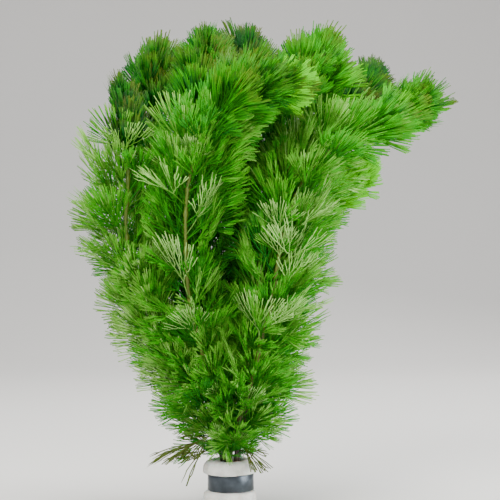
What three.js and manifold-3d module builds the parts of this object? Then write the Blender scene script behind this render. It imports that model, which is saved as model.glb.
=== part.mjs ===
// A bunch of fanwort, a fine-leaved stem plant: cut stems with whorls of fan-shaped leaves and bushy crowns,
// bound together at the foot by a foam sleeve and a soft metal strip that weighs the bunch down.
// Millimetres, +Z up, the front looks along -Y. The origin is the middle of the flat underside of the foot.

import * as THREE from "three";
import { mergeVertices } from "three/addons/utils/BufferGeometryUtils.js";
import Module from "manifold-3d";

const wasm = await Module();
wasm.setup();

// Driving dimensions
const GAP = 0.3; // between pieces that touch
const UP = new THREE.Vector3(0, 0, 1);
const toRadians = THREE.MathUtils.degToRad;

const FOOT_HEIGHT = 25;
const FOOT_SIDES = 16;
const FOOT_EDGE = 1.2; // worn off the lower rim of the foam
const SQUEEZE = 1.6; // height over which the foam narrows to go under the strip
const STRIP_LOW = 9.4;
const STRIP_WIDTH = 9.4;
const STRIP_THICKNESS = 1.2;
const STRIP_RADIUS = 9.6; // inside face, at the start of the winding
const STRIP_TURNS = 1.25;
const STRIP_STEPS_PER_TURN = 20;
const STRIP_START = 60; // compass angle of its inner end, at the back
const LIP_RADIUS = 13.3; // the foam where it swells above the strip
const LIP_ROUND = 3;
const BELLY_RADIUS = 13.2; // and below it
const WAIST_RADIUS = STRIP_RADIUS - GAP;

const BUNDLE_RADIUS = 4.1; // of the ring of stems round the middle one
const STEM_RADIUS = 1.1;
const STEM_TOP_RADIUS = 0.8;
const STEM_SIDES = 5;
const STEM_STEP = 20;
const BORE_RADIUS = BUNDLE_RADIUS + STEM_RADIUS + 2 * GAP; // of the sleeve

const LEAF_THICKNESS = 0.9;
const OPEN_FAN = { fingers: 4, spread: toRadians(124) }; // a whorl's leaf, from its first finger to its last
const YOUNG_FAN = { fingers: 3, spread: toRadians(96) }; // a crown's
const SLIM_FAN = { fingers: 3, spread: toRadians(52) }; // a slim crown's
const PETIOLE_SHARE = 0.26; // of the leaf's length
const PETIOLE_WIDTH = 1.4;
const NOTCH_SHARE = 0.55; // of the blade's radius, where two fingers part
const SIDE_FINGER_SHARE = 0.82; // length of the outermost fingers beside the middle one
const CUP = 0.16; // how far the tips curl up, of the blade's radius
const COLLAR_HEIGHT = 3.6;
const COLLAR_WALL = 0.8;
const LEAF_ROOT = 0.25; // how deep a leaf sits in its collar
const LOWEST_LEAF_SHARE = 0.8; // length of a stem's lowest leaves beside the others

const LOW_RISE = 14; // degrees above the stem's square, for a whorl at the foot
const HIGH_RISE = 66; // and for one at the crown
const NARROW_FORK = 45; // degrees from a stem's facing to each of a whorl's leaves, on every other whorl
const WIDE_FORK = 90; // and on the ones between
const LEAF_TWIST = 32; // degrees that a blade turns about its stalk

const CROWN_START = 0.84; // of the stem's length
const STEEPEST = 84; // degrees that a crown's leaf rises at most
const CROWN_TIERS = [
  { at: 0.86, size: 1, rise: 46, turns: [0, 180] },
  { at: 0.91, size: 1, rise: 58, turns: [80, 260] },
  { at: 0.96, size: 0.95, rise: 76, turns: [150] },
];

// A leaf gives way to its neighbours by one of these turns and lifts, then by one of these lengths.
const SIDESTEPS = [0, 12, -12, 24, -24, 36, -36, 48, -48];
const LIFTS = [0, 12, -12, 24, -24];
const LENGTHS = [1, 0.9, 0.8, 0.7, 0.6, 0.5, 0.4, 0.3];
const MOVES = SIDESTEPS.flatMap((turn) => LIFTS.map((lift) => ({ turn, lift })));
const STEPS = LENGTHS.flatMap((share) => MOVES.map((move) => ({ share, ...move })));

// One entry for each stem. facing is the compass angle that its leaves lean to, in degrees from +X towards +Y,
// spot its place in the bundle by the same angle (null in the middle), leaf the length of its longest leaves,
// whorls how many there are below the crown, first where the lowest one sits along the stem,
// route the points that the stem passes above the foot, droop, on one shoot, the rise of a leaf that hangs from
// its lowest whorl, close, on some, by how many degrees the crown's leaves stand closer to the stem, and slim,
// on one shoot, that its crown is a narrow brush.
const SHOOTS = [
  {
    name: "front_right", facing: 300, spot: 270, leaf: 36, whorls: 6, first: 0.155, close: 8,
    route: [[5, -11, 46], [12, -15, 69], [15, -17, 83], [20.5, -19, 103], [24.5, -20, 128], [30.5, -21, 151],
      [45, -19, 174], [65, -16, 185], [86, -12, 197]],
  },
  {
    name: "front_left", facing: 250, spot: 225, leaf: 36, whorls: 5, first: 0.17,
    route: [[-7.5, -9, 54], [-16, -15, 89], [-20, -18, 109], [-21, -21, 149], [-16, -25, 174], [-4, -30, 191],
      [8, -34, 200], [21, -37, 204]],
  },
  {
    name: "left", facing: 190, spot: 180, leaf: 33, whorls: 5, first: 0.16, droop: -30, close: 26, slim: true,
    route: [[-16, -2, 52], [-35, -6, 89], [-47, -9, 119], [-51, -11, 139], [-50, -12, 159], [-50, -12, 179],
      [-52, -11, 196]],
  },
  {
    name: "right", facing: 345, spot: 315, leaf: 37, whorls: 4, first: 0.19,
    route: [[8, -5, 50], [17, -6, 104], [22.5, -5, 144], [28, -5, 179], [33, -4, 201], [42, -5, 218]],
  },
  {
    name: "left_back", facing: 150, spot: 135, leaf: 34, whorls: 4, first: 0.19, close: 24,
    route: [[-10, 8, 55], [-26, 14, 99], [-37, 18, 139], [-41, 20, 174], [-40, 21, 200], [-38, 22, 219]],
  },
  {
    name: "right_back", facing: 20, spot: 0, leaf: 34, whorls: 4, first: 0.17,
    route: [[10, 3, 55], [20, 8, 104], [30, 14, 139], [43, 20, 172], [58, 26, 197], [69, 30, 211]],
  },
  {
    name: "back", facing: 95, spot: 90, leaf: 34, whorls: 4, first: 0.17,
    route: [[2, 9, 60], [4, 18, 110], [5, 25, 160], [6.5, 30, 200], [7, 33, 227]],
  },
  {
    name: "low_back", facing: 55, spot: 45, leaf: 29, whorls: 4, first: 0.25, close: 6,
    route: [[9, 10, 50], [19, 22, 89], [29, 34, 122], [46, 44, 148], [66, 50, 167]],
  },
  {
    name: "middle", facing: 265, spot: null, leaf: 32, whorls: 4, first: 0.21,
    route: [[-2.5, 0, 59], [-7.5, -1, 104], [-14, -2, 144], [-16, -2, 184], [-14, -2, 204], [-12, -2, 223]],
  },
];

// Materials
const foamWhite = new THREE.MeshStandardMaterial({ color: 0xdad8cf, roughness: 0.95, metalness: 0 });
const stripGrey = new THREE.MeshStandardMaterial({ color: 0x3d4549, roughness: 0.4, metalness: 0.8 });
const stemOlive = new THREE.MeshStandardMaterial({ color: 0x6f6a22, roughness: 0.55, metalness: 0 });
const leafGreen = new THREE.MeshStandardMaterial({ color: 0x3f8f1e, roughness: 0.5, metalness: 0 });
const crownGreen = new THREE.MeshStandardMaterial({ color: 0x4ea520, roughness: 0.5, metalness: 0 });
for (const material of [foamWhite, stripGrey, stemOlive, leafGreen, crownGreen]) material.flatShading = true;

// Changes of form between three.js geometry and solids

function solidOf(geometry) {
  const bare = geometry.index ? geometry.toNonIndexed() : geometry.clone();
  bare.deleteAttribute("normal");
  bare.deleteAttribute("uv");
  const merged = mergeVertices(bare, 1e-4);
  return new wasm.Manifold(new wasm.Mesh({
    numProp: 3,
    vertProperties: merged.attributes.position.array,
    triVerts: new Uint32Array(merged.index.array),
  }));
}

function geometryOf(solid) {
  const mesh = solid.getMesh();
  return new THREE.BufferGeometry()
    .setAttribute("position", new THREE.BufferAttribute(Float32Array.from(mesh.vertProperties), 3))
    .setIndex(new THREE.BufferAttribute(Uint32Array.from(mesh.triVerts), 1));
}

// The mesh of a solid made in the part's frame, with its own origin at a point of its own.
function meshAt(name, solid, point, material) {
  const geometry = geometryOf(solid).translate(-point.x, -point.y, -point.z);
  geometry.computeVertexNormals();
  const mesh = new THREE.Mesh(geometry, material);
  mesh.name = name;
  mesh.position.copy(point);
  return mesh;
}

function boxesMeet(a, b) {
  const p = a.boundingBox();
  const q = b.boundingBox();
  return [0, 1, 2].every((i) => p.min[i] <= q.max[i] && q.min[i] <= p.max[i]);
}

// The foot

// The foam is wound round the stems with an open middle. It bulges above and below the strip.
function foamSleeve() {
  const low = STRIP_LOW - GAP;
  const high = STRIP_LOW + STRIP_WIDTH + GAP;
  const profile = [
    [BORE_RADIUS, 0], [BELLY_RADIUS - FOOT_EDGE, 0], [BELLY_RADIUS, FOOT_EDGE], [BELLY_RADIUS, low - SQUEEZE],
    [WAIST_RADIUS, low], [WAIST_RADIUS, high], [LIP_RADIUS, high + SQUEEZE / 2], [LIP_RADIUS, high + SQUEEZE],
    [LIP_RADIUS - LIP_ROUND, FOOT_HEIGHT], [BORE_RADIUS + FOOT_EDGE, FOOT_HEIGHT],
    [BORE_RADIUS, FOOT_HEIGHT - FOOT_EDGE], [BORE_RADIUS, 0],
  ];
  const geometry = new THREE.LatheGeometry(profile.map(([r, z]) => new THREE.Vector2(r, z)), FOOT_SIDES);
  return solidOf(geometry.rotateX(Math.PI / 2));
}

// The strip is flat metal, wound a little over once.
function weightStrip() {
  const steps = Math.round(STRIP_TURNS * STRIP_STEPS_PER_TURN);
  const pitch = STRIP_THICKNESS + GAP;
  const edge = (offset) => Array.from({ length: steps + 1 }, (_, i) => {
    const turn = i / STRIP_STEPS_PER_TURN;
    const radius = STRIP_RADIUS + pitch * turn + offset;
    const angle = turn * 2 * Math.PI;
    return new THREE.Vector2(radius * Math.cos(angle), radius * Math.sin(angle));
  });
  const outline = new THREE.Shape([...edge(STRIP_THICKNESS), ...edge(0).reverse()]);
  const geometry = new THREE.ExtrudeGeometry(outline, { depth: STRIP_WIDTH, bevelEnabled: false });
  return solidOf(geometry.rotateZ(toRadians(STRIP_START)).translate(0, 0, STRIP_LOW));
}

// Stems

function stemCurve(shoot) {
  const angle = toRadians(shoot.spot ?? 0);
  const ring = shoot.spot === null ? 0 : BUNDLE_RADIUS;
  const x = ring * Math.cos(angle);
  const y = ring * Math.sin(angle);
  const above = shoot.route.map((p) => new THREE.Vector3(...p));
  const points = [new THREE.Vector3(x, y, 0), new THREE.Vector3(x, y, FOOT_HEIGHT), ...above];
  return new THREE.CatmullRomCurve3(points, false, "catmullrom", 0.5);
}

function stemRadiusAt(share) {
  return THREE.MathUtils.lerp(STEM_RADIUS, STEM_TOP_RADIUS, share);
}

function collarRadiusAt(share) {
  return stemRadiusAt(share) + GAP + COLLAR_WALL;
}

// Where a stem's rings sit from one share of its length to another: at each of its whorls, and between them.
function ringShares(shoot, from, to) {
  const marks = [from, ...whorlPlan(shoot).map((whorl) => whorl.share).filter((at) => at > from && at < to), to];
  const shares = [from];
  for (let i = 1; i < marks.length; i++) {
    const steps = Math.ceil((shoot.curve.getLength() * (marks[i] - marks[i - 1])) / STEM_STEP);
    for (let k = 1; k <= steps; k++) shares.push(THREE.MathUtils.lerp(marks[i - 1], marks[i], k / steps));
  }
  return shares;
}

// A round bar bent along a stretch of the stem.
function stemSolid(shoot, from, to) {
  const shares = ringShares(shoot, from, to);
  const geometry = new THREE.CylinderGeometry(1, 1, 1, STEM_SIDES, shares.length - 1).rotateX(Math.PI / 2);
  const place = geometry.attributes.position;
  for (let i = 0; i < place.count; i++) {
    const share = shares[Math.round((place.getZ(i) + 0.5) * (shares.length - 1))];
    const centre = shoot.curve.getPointAt(share);
    const along = share === 0 ? UP : shoot.curve.getTangentAt(share);
    const side = new THREE.Vector3(1, 0, 0).addScaledVector(along, -along.x).normalize();
    const across = new THREE.Vector3().crossVectors(along, side);
    const radius = stemRadiusAt(share);
    centre.addScaledVector(side, place.getX(i) * radius).addScaledVector(across, place.getY(i) * radius);
    place.setXYZ(i, centre.x, centre.y, centre.z);
  }
  return solidOf(geometry);
}

// Leaves

// A leaf is one plate: a narrow stalk, then fingers that part like a fan and curl up at the tips.
// It is drawn from a given distance along its stalk, and grown all over by extra.
function leafGeometry(length, { fingers, spread }, from, extra = 0) {
  const blade = length * (1 - PETIOLE_SHARE);
  const fork = length * PETIOLE_SHARE;
  const half = PETIOLE_WIDTH / 2 + extra;
  const outline = [new THREE.Vector2(half, from), new THREE.Vector2(half, fork)];
  const halfStep = spread / (fingers - 1) / 2;
  for (let i = 0; i < 2 * fingers - 1; i++) {
    const angle = spread / 2 - i * halfStep;
    const lean = Math.abs(angle) / (spread / 2);
    const finger = blade * THREE.MathUtils.lerp(1, SIDE_FINGER_SHARE, lean * lean);
    const radius = i % 2 === 0 ? finger + extra : blade * NOTCH_SHARE + 2 * extra;
    outline.push(new THREE.Vector2(radius * Math.sin(angle), fork + radius * Math.cos(angle)));
  }
  outline.push(new THREE.Vector2(-half, fork), new THREE.Vector2(-half, from));
  const depth = LEAF_THICKNESS + 2 * extra;
  const geometry = new THREE.ExtrudeGeometry(new THREE.Shape(outline), { depth, bevelEnabled: false });
  geometry.translate(0, 0, -depth / 2);
  const place = geometry.attributes.position;
  for (let i = 0; i < place.count; i++) {
    const distance = Math.hypot(place.getX(i), place.getY(i) - fork);
    if (place.getY(i) > fork) place.setZ(i, place.getZ(i) + (CUP * distance * distance) / blade);
  }
  return geometry;
}

// The frame of a point of the stem: X square to the stem towards a compass angle, Z along the stem.
function nodeFrame(curve, share, compass) {
  const along = curve.getTangentAt(share);
  const out = new THREE.Vector3(Math.cos(toRadians(compass)), Math.sin(toRadians(compass)), 0);
  out.addScaledVector(along, -out.dot(along)).normalize();
  const beside = new THREE.Vector3().crossVectors(along, out);
  return new THREE.Matrix4().makeBasis(out, beside, along).setPosition(curve.getPointAt(share));
}

// A leaf's geometry taken from where it is drawn, along +Y with its upper face +Z, to its place beside the stem.
function grown(geometry, curve, { share, compass, rise, twist, root }) {
  geometry.rotateY(toRadians(twist)).rotateX(toRadians(rise)).rotateZ(-Math.PI / 2).translate(root, 0, 0);
  return solidOf(geometry.applyMatrix4(nodeFrame(curve, share, compass)));
}

// The leaf nearest to the wish that keeps the gap to everything in the way.
function clearLeaf(curve, wish, inTheWay) {
  for (const { share, turn, lift } of STEPS) {
    const length = wish.length * share;
    const leaf = { ...wish, compass: wish.compass + turn, rise: wish.rise + lift };
    const room = grown(leafGeometry(length, wish.fan, COLLAR_HEIGHT, GAP), curve, leaf);
    if (inTheWay.every((other) => !boxesMeet(room, other) || room.intersect(other).isEmpty())) {
      return grown(leafGeometry(length, wish.fan, 0), curve, leaf);
    }
  }
  throw new Error(`no room for a leaf at ${wish.share} of its stem, towards ${wish.compass}`);
}

// The swollen ring round the stem that the leaves of a whorl grow from. It is square, with a flat for each leaf.
function collarSolid(curve, { share, facing, quarter }) {
  const corner = 1 / Math.cos(Math.PI / 4);
  const inner = (stemRadiusAt(share) + GAP) * corner;
  const outer = collarRadiusAt(share) * corner;
  const half = COLLAR_HEIGHT / 2;
  const profile = [[inner, -half], [outer, -half], [outer, half], [inner, half], [inner, -half]];
  const geometry = new THREE.LatheGeometry(profile.map(([r, y]) => new THREE.Vector2(r, y)), 4);
  geometry.rotateX(Math.PI / 2).rotateZ(quarter);
  return solidOf(geometry.applyMatrix4(nodeFrame(curve, share, facing)));
}

// Where the whorls of a stem sit, which way their two leaves point and how long they are.
function whorlPlan(shoot) {
  const step = (CROWN_START - shoot.first) / shoot.whorls;
  return Array.from({ length: shoot.whorls }, (_, i) => {
    const share = shoot.first + i * step;
    const fork = i % 2 === 0 ? NARROW_FORK : WIDE_FORK;
    const usual = THREE.MathUtils.lerp(LOW_RISE, HIGH_RISE, share);
    const length = shoot.leaf * (i === 0 ? LOWEST_LEAF_SHARE : 1);
    return {
      share,
      facing: shoot.facing,
      quarter: i % 2 === 0 ? 0 : Math.PI / 4,
      leaves: [-1, 1].map((side) => {
        const hangs = i === 0 && side === 1 && shoot.droop;
        return {
          share,
          length,
          fan: OPEN_FAN,
          rise: hangs ? shoot.droop : usual,
          compass: hangs ? shoot.facing : shoot.facing + side * fork,
          twist: side * LEAF_TWIST,
          root: collarRadiusAt(share) - LEAF_ROOT,
        };
      }),
    };
  });
}

function crownPlan(shoot) {
  return CROWN_TIERS.flatMap(({ at, size, rise, turns }) => turns.map((turn) => ({
    share: at,
    length: shoot.leaf * size,
    fan: shoot.slim ? SLIM_FAN : YOUNG_FAN,
    rise: Math.min(rise + (shoot.close ?? 0), STEEPEST),
    compass: shoot.facing + turn,
    twist: 0,
    root: stemRadiusAt(at) - LEAF_ROOT,
  })));
}

// Assembly

const bunch = new THREE.Group();
const origin = new THREE.Vector3();
bunch.add(meshAt("foam_sleeve", foamSleeve(), origin, foamWhite));
bunch.add(meshAt("weight_strip", weightStrip(), origin, stripGrey));

const shoots = SHOOTS.map((shoot) => {
  const curve = stemCurve(shoot);
  return { ...shoot, curve, stem: stemSolid({ ...shoot, curve }, 0, CROWN_START - GAP / curve.getLength()) };
});

// Everything that a leaf has to stay clear of.
const taken = [foamSleeve(), weightStrip(), ...shoots.map((shoot) => shoot.stem)];

// Crowns come first, because their leaves are the ones that show.
for (const shoot of shoots) {
  const { curve } = shoot;
  const leaves = [];
  for (const wish of crownPlan(shoot)) leaves.push(clearLeaf(curve, wish, [...taken, ...leaves]));
  shoot.crown = wasm.Manifold.union([stemSolid(shoot, CROWN_START, 1), ...leaves]);
  taken.push(shoot.crown);
}

// Whorls grow from the top of each stem down, one tier of every stem at a time.
for (const shoot of shoots) {
  shoot.whorlSolids = whorlPlan(shoot).map((whorl) => collarSolid(shoot.curve, whorl));
}
const mostWhorls = Math.max(...SHOOTS.map((shoot) => shoot.whorls));
for (let down = 1; down <= mostWhorls; down++) {
  for (const shoot of shoots.filter((each) => each.whorls >= down)) {
    const i = shoot.whorls - down;
    const others = shoots.flatMap((each) => each.whorlSolids).filter((solid) => solid !== shoot.whorlSolids[i]);
    const inTheWay = [...taken, ...others];
    for (const wish of whorlPlan(shoot)[i].leaves) {
      const leaf = clearLeaf(shoot.curve, wish, inTheWay);
      inTheWay.push(leaf);
      shoot.whorlSolids[i] = shoot.whorlSolids[i].add(leaf);
    }
  }
}

for (const shoot of shoots) {
  const { curve, name } = shoot;
  const group = new THREE.Group();
  group.add(meshAt(`stem_${name}`, shoot.stem, curve.getPointAt(0), stemOlive));
  group.add(meshAt(`crown_${name}`, shoot.crown, curve.getPointAt(CROWN_START), crownGreen));
  whorlPlan(shoot).forEach((whorl, i) => {
    group.add(meshAt(`whorl_${name}_${i + 1}`, shoot.whorlSolids[i], curve.getPointAt(whorl.share), leafGreen));
  });
  bunch.add(group);
}

export default bunch;
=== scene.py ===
"""A weighted bunch of fanwort, a fine-leaved stem plant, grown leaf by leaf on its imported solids."""

import math
from typing import NamedTuple

import bpy
import numpy as np
from bpy.props import FloatProperty, FloatVectorProperty, IntProperty, PointerProperty
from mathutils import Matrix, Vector


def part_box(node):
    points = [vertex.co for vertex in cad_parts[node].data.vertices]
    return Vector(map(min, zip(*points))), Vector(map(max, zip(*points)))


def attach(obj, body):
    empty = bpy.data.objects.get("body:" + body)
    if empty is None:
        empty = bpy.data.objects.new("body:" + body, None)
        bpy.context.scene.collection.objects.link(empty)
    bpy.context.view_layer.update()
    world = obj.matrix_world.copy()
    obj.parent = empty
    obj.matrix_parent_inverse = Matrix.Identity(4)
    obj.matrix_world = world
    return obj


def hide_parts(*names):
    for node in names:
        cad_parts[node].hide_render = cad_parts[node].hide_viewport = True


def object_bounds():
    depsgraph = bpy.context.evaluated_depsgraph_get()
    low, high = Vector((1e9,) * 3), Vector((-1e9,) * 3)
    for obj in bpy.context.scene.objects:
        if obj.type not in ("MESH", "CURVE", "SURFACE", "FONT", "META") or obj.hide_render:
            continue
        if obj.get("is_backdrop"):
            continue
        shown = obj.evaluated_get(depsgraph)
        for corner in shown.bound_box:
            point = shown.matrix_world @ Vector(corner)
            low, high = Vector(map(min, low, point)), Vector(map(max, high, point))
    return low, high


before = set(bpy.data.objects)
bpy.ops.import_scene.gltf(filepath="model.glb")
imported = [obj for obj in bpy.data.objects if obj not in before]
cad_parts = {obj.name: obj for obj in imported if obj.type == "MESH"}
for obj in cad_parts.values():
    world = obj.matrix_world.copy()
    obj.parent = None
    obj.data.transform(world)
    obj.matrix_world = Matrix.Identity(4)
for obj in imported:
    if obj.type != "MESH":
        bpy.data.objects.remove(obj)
CAD_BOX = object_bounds()

bl_info = {
    "name": "Fanwort bunch",
    "version": (1, 0, 0),
    "blender": (4, 5, 0),
    "location": "3D View > Sidebar > Plant",
    "description": "Grows a weighted bunch of fanwort: stems, fan leaves, crowns, foam sleeve and weight strip",
    "category": "Add Mesh",
}

MM = 0.001
BODY = "root"
UP = np.array((0.0, 0.0, 1.0))
SEED = 20261

# The foot and the stems, in metres, as in the solids
FOOT_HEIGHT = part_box("foam_sleeve")[1].z
STRIP_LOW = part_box("weight_strip")[0].z
STRIP_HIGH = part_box("weight_strip")[1].z
BUNDLE_RADIUS = 4.1 * MM
BORE_RADIUS = 5.8 * MM
STRIP_RADIUS = 9.6 * MM
STRIP_THICKNESS = 1.2 * MM
STRIP_PITCH = 1.5 * MM
STRIP_TURNS = 1.25
STRIP_START = math.radians(60)
GAP = 0.3 * MM
STEM_RADIUS = 1.1 * MM
STEM_TOP_RADIUS = 0.8 * MM
CROWN_START = 0.84  # share of a stem where its crown begins
NODE_LENGTH = 1.3 * MM  # half the length of a stem's swelling at a node
TIP_TAPER = 0.45  # how much thinner a stem ends, over its last tenth
FRONT = 270  # compass angle of the front
LIT_POINT = (0, 0, 130 * MM)  # what the lights point at
VIEW_MIDDLE = (10 * MM, 129 * MM)  # place from side to side and height of the middle of the view
SENSOR = 36  # the camera's width, in mm


class Shoot(NamedTuple):
    """One stem and how it is dressed."""

    facing: float  # compass angle that its leaves lean to, in degrees from +X towards +Y
    spot: float  # its place in the bundle by the same angle, or None in the middle
    leaf: float  # length of its longest leaves
    whorls: int  # how many its solids have below the crown
    first: float  # where the lowest of them sits, as a share of the stem
    close: float  # by how many degrees the crown's leaves stand closer to the stem
    # A negative tone, as on the back and middle stems inside the bunch, is painted shade
    tone: float  # how much lighter its leaves are than most
    crown_tone: float  # tone of its crown, from 0 for deep green to 1 for yellow green
    route: tuple  # the points that it passes above the foot
    slim: bool = False  # whether its crown is a narrow brush
    bare: tuple = ()  # pairs of heights, in mm, between which its stem shows in front


SHOOTS = {
    "front_right": Shoot(300, 270, 36, 6, 0.155, 8, 0.1, 0.58, (
        (5, -11, 46), (12, -15, 69), (15, -17, 83), (20.5, -19, 103), (24.5, -20, 128), (30.5, -21, 151),
        (45, -19, 174), (65, -16, 185), (86, -12, 197)), bare=((62, 150),)),
    "front_left": Shoot(250, 225, 36, 5, 0.17, 0, 0.0, 0.5, (
        (-7.5, -9, 54), (-16, -15, 89), (-20, -18, 109), (-21, -21, 149), (-16, -25, 174), (-4, -30, 191),
        (8, -34, 200), (21, -37, 204)), bare=((31, 46), (80, 160))),
    "left": Shoot(190, 180, 33, 5, 0.16, 26, 0.1, 0.2, (
        (-16, -2, 52), (-35, -6, 89), (-47, -9, 119), (-51, -11, 139), (-50, -12, 159), (-50, -12, 179),
        (-52, -11, 196)), slim=True, bare=((115, 156),)),
    "right": Shoot(345, 315, 37, 4, 0.19, 0, 0.0, 0.56, (
        (8, -5, 50), (17, -6, 104), (22.5, -5, 144), (28, -5, 179), (33, -4, 201), (42, -5, 218))),
    "left_back": Shoot(150, 135, 34, 4, 0.19, 24, 0.0, 0.3, (
        (-10, 8, 55), (-26, 14, 99), (-37, 18, 139), (-41, 20, 174), (-40, 21, 200), (-38, 22, 219))),
    "right_back": Shoot(20, 0, 34, 4, 0.17, 0, 0.0, 0.2, (
        (10, 3, 55), (20, 8, 104), (30, 14, 139), (43, 20, 172), (58, 26, 197), (69, 30, 211))),
    # Painted shade: the back stem's low tone and crown tone darken it where it stands behind the others
    "back": Shoot(95, 90, 34, 4, 0.17, 0, -0.1, 0.12, (
        (2, 9, 60), (4, 18, 110), (5, 25, 160), (6.5, 30, 200), (7, 33, 227))),
    "low_back": Shoot(55, 45, 29, 4, 0.25, 6, 0.05, 1.05, (
        (9, 10, 50), (19, 22, 89), (29, 34, 122), (46, 44, 148), (66, 50, 167))),
    "middle": Shoot(265, None, 32, 4, 0.21, 0, -0.06, 0.42, (
        (-2.5, 0, 59), (-7.5, -1, 104), (-14, -2, 144), (-16, -2, 184), (-14, -2, 204), (-12, -2, 223))),
}

OLD_TONE = -0.3  # an old olive brown leaf, darker than any green one

# Leaves listed one by one, each by the height that it grows at, the compass angle that it leans to, its rise above the
# stem's square, its twist, its length, its tone, from 0 for deep green to 1 for pale, and its habit where not full
STANDOUTS = {
    "front_left": (
        (28, 238, 10, 0, 11, 0.3), (28, 216, 14, 0, 12, 0.25), (29, 262, 34, 0, 13, 0.35),
        (30, 250, 30, 10, 13, 0.5, "open"), (33, 255, 42, 10, 19, 1.0, "open"),
        (54, 300, 60, 12, 21, 0.92, "open"), (84, 266, 54, 0, 31, 0.97, "open"),
        (104, 252, 74, -6, 38, 0.94, "open"), (136, 318, 48, 6, 38, 0.86, "open"),
        (150, 232, 36, -14, 38, 0.86, "open"), (168, 265, 55, 0, 22, 0.88, "open"), (170, 188, 48, 60, 37, 0.68),
        (134, 350, 40, 76, 36, 0.5), (142, 345, 42, 70, 38, 0.52), (150, 350, 40, 76, 38, 0.5),
        (157, 340, 44, 66, 38, 0.54), (164, 350, 46, 72, 38, 0.58), (170, 345, 56, 70, 39, 0.62),
        (176, 350, 62, 76, 39, 0.6), (182, 345, 58, 70, 39, 0.62), (187, 350, 66, 76, 38, 0.5),
        (191, 340, 56, 70, 38, 0.52), (158, 190, 54, 50, 31, 0.72), (60, 190, 32, 84, 31, 0.62),
        (36, 190, 32, 84, 22, 0.74)),
    "front_right": (
        (28, 256, 12, 0, 11, 0.3), (28, 292, 8, 0, 12, 0.4), (29, 270, 34, 0, 13, 0.3),
        (30, 300, 30, 10, 14, 0.5, "open"), (31, 285, 52, 0, 16, 0.78, "open"), (36, 335, 22, 20, 27, 0.6, "open"),
        (50, 288, 50, -8, 20, 0.93, "open"), (82, 246, 62, -4, 34, 0.92, "open"),
        (92, 325, 48, 14, 36, 0.82, "open"), (106, 318, 56, 10, 35, 0.84, "open"),
        (120, 272, 66, 6, 26, 0.89, "open"), (132, 244, 52, 0, 29, 0.9, "open"),
        (138, 305, 50, 10, 28, 0.72, "open"), (152, 342, 30, 0, 38, 0.56, "open"),
        (160, 255, 74, 0, 13, 1.2, "trail"), (176, 165, 62, 84, 38, 0.62, "open"), (180, 168, 68, 80, 39, 0.6),
        (182, 275, 60, 10, 34, 0.56), (116, 190, 54, 76, 35, 0.3), (128, 195, 56, 70, 36, 0.38),
        # Painted light: the two leaves of tone 0.7 below are made lighter to make up for the crown's shadow on them
        (139, 190, 58, 76, 36, 0.52), (149, 195, 60, 70, 37, 0.7), (158, 190, 62, 76, 37, 0.7),
        (87, 308, 52, 8, 34, 0.92, "open"), (118, 318, 50, 10, 36, 0.88, "open"),
        (134, 328, 46, 14, 36, 0.86, "open")),
    "left": (
        (28, 200, 20, 0, 11, 0.25), (33, 192, 22, 0, 32, OLD_TONE, "thin"),
        (34, 205, -14, 0, 30, OLD_TONE, "trail"), (42, 188, 58, 70, 33, 0.82, "open"),
        (54, 186, 60, 70, 37, 0.86, "open"), (76, 184, 47, 75, 36, 0.9, "open"),
        (114, 184, 48, 0, 34, 1.05, "slim"), (46, 186, 60, 0, 28, 0.98, "slim"), (56, 186, 58, 0, 38, 1.0, "slim"),
        (66, 184, 60, 0, 28, 1.05, "slim"), (50, 184, 56, 78, 25, 0.72), (62, 188, 58, 74, 26, 0.76),
        (70, 182, 56, 80, 24, 0.7), (86, 186, 46, 78, 29, 0.78), (94, 184, 46, 74, 32, 0.72),
        (102, 182, 50, 80, 24, 0.78), (122, 184, 54, 76, 25, 0.74), (134, 186, 48, 78, 33, 0.7),
        (128, 196, 30, -20, 34, 0.74, "open"), (141, 188, 42, -20, 31, 0.78, "open"), (152, 184, 40, 30, 38, 0.7),
        (158, 188, 50, -28, 39, 0.74), (172, 262, 48, 0, 28, 0.8, "open"), (174, 205, 58, 40, 29, 0.58)),
    "right": (
        (28, 318, 6, 0, 12, 0.3), (30, 322, -6, 0, 17, OLD_TONE, "trail"), (74, 320, 34, 12, 33, 0.62),
        (140, 195, 46, 70, 36, 0.42), (156, 200, 50, 60, 35, 0.46), (168, 190, 56, 70, 34, 0.42)),
    "middle": (
        (150, 300, 46, 10, 34, 0.3), (160, 330, 52, -20, 34, 0.26), (142, 320, 40, 0, 34, 0.3),
        (165, 345, 44, 60, 34, 0.42), (178, 330, 50, 40, 34, 0.44)),
    "back": (
        (138, 250, 40, 0, 33, 0.24), (146, 285, 46, 20, 33, 0.3), (154, 265, 52, -20, 33, 0.26),
        (150, 200, 44, 0, 33, 0.24), (158, 340, 50, 0, 33, 0.28), (164, 240, 50, 10, 33, 0.3),
        (60, 200, 50, 0, 30, 0.2), (66, 330, 50, 0, 30, 0.2)),
}
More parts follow.
